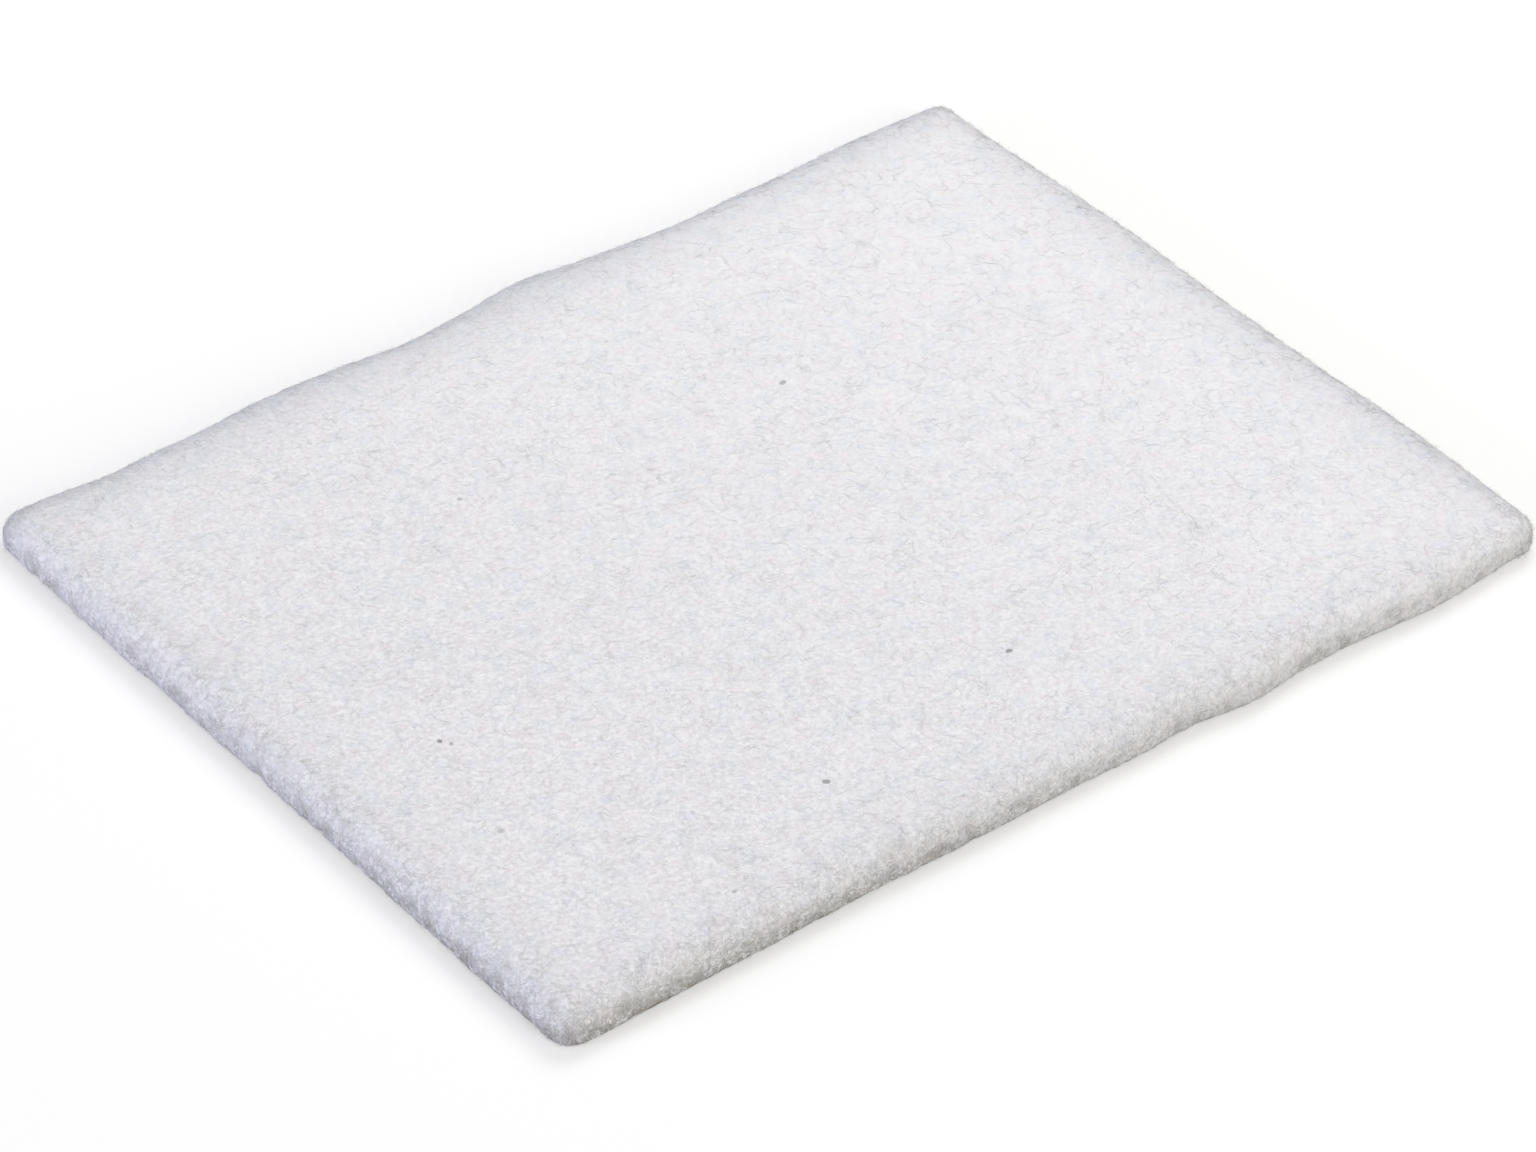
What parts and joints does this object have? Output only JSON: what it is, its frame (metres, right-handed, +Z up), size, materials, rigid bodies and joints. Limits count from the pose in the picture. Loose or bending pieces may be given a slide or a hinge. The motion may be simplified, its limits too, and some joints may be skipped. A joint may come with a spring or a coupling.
{
  "type": "nylon scouring pad",
  "caption": "Thin rectangular white pad of bonded nylon fibre web with soft cut edges, for wiping and light scouring.",
  "frame": {"origin": "middle of the outline's box, on the flat lower face that the pad lies on", "axes": "+X along the long side, +Y along the short side, +Z up through the thickness"},
  "size_m": [0.2294, 0.1822, 0.008],
  "materials": {
    "nylon_web": "matt open web of fine white nylon fibres"
  },
  "bodies": {
    "root": {"pad": "nylon_web"}
  },
  "joints": []
}
